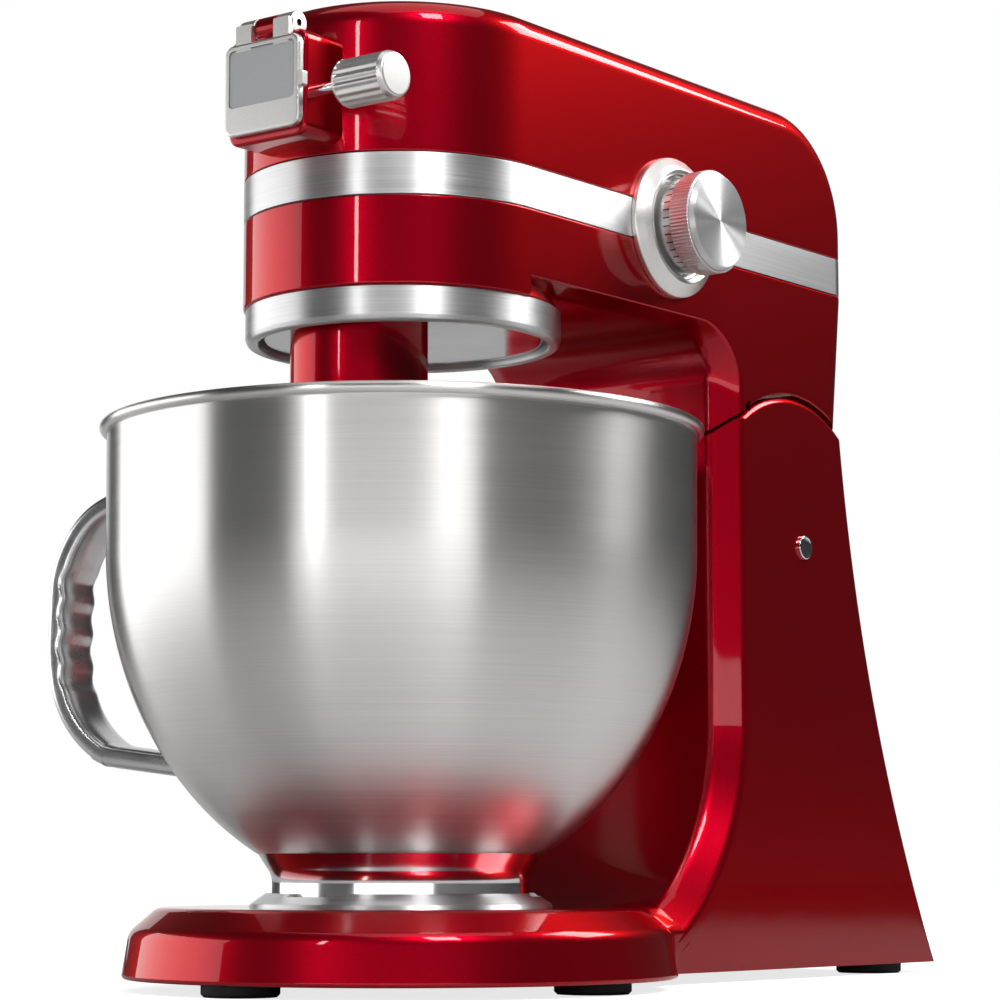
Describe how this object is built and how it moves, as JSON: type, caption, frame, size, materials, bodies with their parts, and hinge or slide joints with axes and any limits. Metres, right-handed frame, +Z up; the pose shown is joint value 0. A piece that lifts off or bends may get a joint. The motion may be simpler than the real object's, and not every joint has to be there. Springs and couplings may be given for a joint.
{
  "type": "stand mixer",
  "caption": "Tilt-head stand mixer with a swept column, banded red head, side speed dial, planetary tool drive, front accessory hub and a steel bowl with a loop handle.",
  "frame": {"origin": "on the bowl's axis at the level of the table that the feet stand on", "axes": "+Z up, -Y towards the mixer's front, +X towards the speed dial's side"},
  "size_m": [0.2626, 0.4114, 0.3645],
  "materials": {
    "red_paint": "candy red gloss over cast metal",
    "satin_stainless": "satin spun stainless steel",
    "polished_steel": "polished",
    "brushed_trim": "brushed along its length",
    "turned_aluminium": "turned",
    "printed_aluminium": "satin, with printed marks",
    "flap_grey": "fine matt grey",
    "black_rubber": "matt",
    "black_plastic": "moulded",
    "board_green": "circuit board",
    "gear_steel": "machined",
    "structure_steel": "dark cast",
    "bronze": "sintered"
  },
  "bodies": {
    "stand": {"base_casting": "red_paint", "bottom_plate": "black_plastic", "rubber_feet": "black_rubber", "base_screws": "gear_steel", "bowl_lock_plate": "brushed_trim", "pivot_yoke": "structure_steel", "hinge_pin": "gear_steel", "latch_guide": "structure_steel", "control_board": "board_green", "cord_inlet": "black_rubber"},
    "head": {"head_casting": "red_paint", "head_cover": "red_paint", "trim_band": "brushed_trim", "nose_ring": "brushed_trim", "ring_gear": "gear_steel", "gearbox_plate": "structure_steel", "gearbox_bridge": "structure_steel", "main_bearings": "gear_steel", "lay_bearings": "gear_steel", "hinge_bracket": "structure_steel", "hinge_bushes": "bronze", "motor_base": "structure_steel", "motor_stator": "gear_steel", "motor_cap": "structure_steel", "drive_belt": "black_rubber", "speed_switch": "black_plastic", "dial_flange": "polished_steel", "hub_housing": "red_paint", "hub_bush": "bronze"},
    "planetary": {"planet_carrier": "red_paint", "main_shaft": "gear_steel", "main_gear": "gear_steel", "main_bevel": "gear_steel", "tool_bushes": "bronze"},
    "tool": {"tool_shaft": "polished_steel", "planet_pinion": "gear_steel", "tool_pin": "polished_steel"},
    "layshaft": {"lay_shaft": "gear_steel", "lay_pinion": "gear_steel", "lay_pulley": "black_plastic"},
    "rotor": {"rotor_shaft": "gear_steel", "rotor_core": "gear_steel", "motor_pulley": "black_plastic", "cooling_fan": "black_plastic"},
    "hub_drive": {"hub_shaft": "gear_steel", "hub_bevel": "gear_steel"},
    "dial": {"dial_skirt": "printed_aluminium", "dial_knurl": "turned_aluminium", "dial_cap": "turned_aluminium"},
    "hub_cover": {"hub_flap": "turned_aluminium", "flap_panel": "flap_grey", "flap_pin": "polished_steel"},
    "clamp": {"clamp_screw": "polished_steel", "clamp_knob": "turned_aluminium"},
    "release": {"release_button": "polished_steel", "latch_bar": "structure_steel", "button_spring": "gear_steel"},
    "bowl": {"bowl_shell": "satin_stainless", "bowl_foot": "polished_steel", "bowl_handle": "satin_stainless"}
  },
  "joints": [
    {"name": "head_tilt", "type": "hinge", "parent": "stand", "child": "head", "pos_m": [0, 0.1815, 0.1734], "axis": [-1, 0, 0], "range_deg": [0, 40]},
    {"name": "planetary_spin", "type": "hinge", "parent": "head", "child": "planetary", "pos_m": [0, 0, 0.25], "axis": [0, 0, 1], "continuous": true},
    {"name": "tool_spin", "type": "hinge", "parent": "planetary", "child": "tool", "pos_m": [0, -0.026, 0.22], "axis": [0, 0, 1], "continuous": true},
    {"name": "lay_spin", "type": "hinge", "parent": "head", "child": "layshaft", "pos_m": [0, 0.068, 0.29], "axis": [0, 0, 1], "continuous": true},
    {"name": "motor_spin", "type": "hinge", "parent": "head", "child": "rotor", "pos_m": [0, 0.163, 0.29], "axis": [0, 0, 1], "continuous": true},
    {"name": "hub_spin", "type": "hinge", "parent": "head", "child": "hub_drive", "pos_m": [0, -0.03, 0.328], "axis": [0, -1, 0], "continuous": true},
    {"name": "dial_turn", "type": "hinge", "parent": "head", "child": "dial", "pos_m": [0.07, 0.093, 0.29765], "axis": [1, 0, 0], "range_deg": [0, 270]},
    {"name": "cover_flip", "type": "hinge", "parent": "head", "child": "hub_cover", "pos_m": [0, -0.076, 0.352], "axis": [-1, 0, 0], "range_deg": [0, 110]},
    {"name": "clamp_turn", "type": "hinge", "parent": "head", "child": "clamp", "pos_m": [0.03, -0.073, 0.326], "axis": [1, 0, 0], "continuous": true},
    {"name": "button_press", "type": "slide", "parent": "stand", "child": "release", "axis": [-1, 0, 0], "range_m": [0, 0.003], "stiffness_N_per_m": 400, "deforming": ["button_spring"]},
    {"name": "bowl_turn", "type": "hinge", "parent": "stand", "child": "bowl", "pos_m": [0, 0, 0.04], "axis": [0, 0, 1], "range_deg": [-32, 0]}
  ],
  "couplings": [
    {"joint": "tool_spin", "follows": "planetary_spin", "ratio": -3.8889},
    {"joint": "lay_spin", "follows": "planetary_spin", "ratio": -2.7778},
    {"joint": "motor_spin", "follows": "planetary_spin", "ratio": -11.111},
    {"joint": "hub_spin", "follows": "planetary_spin", "ratio": 1}
  ]
}
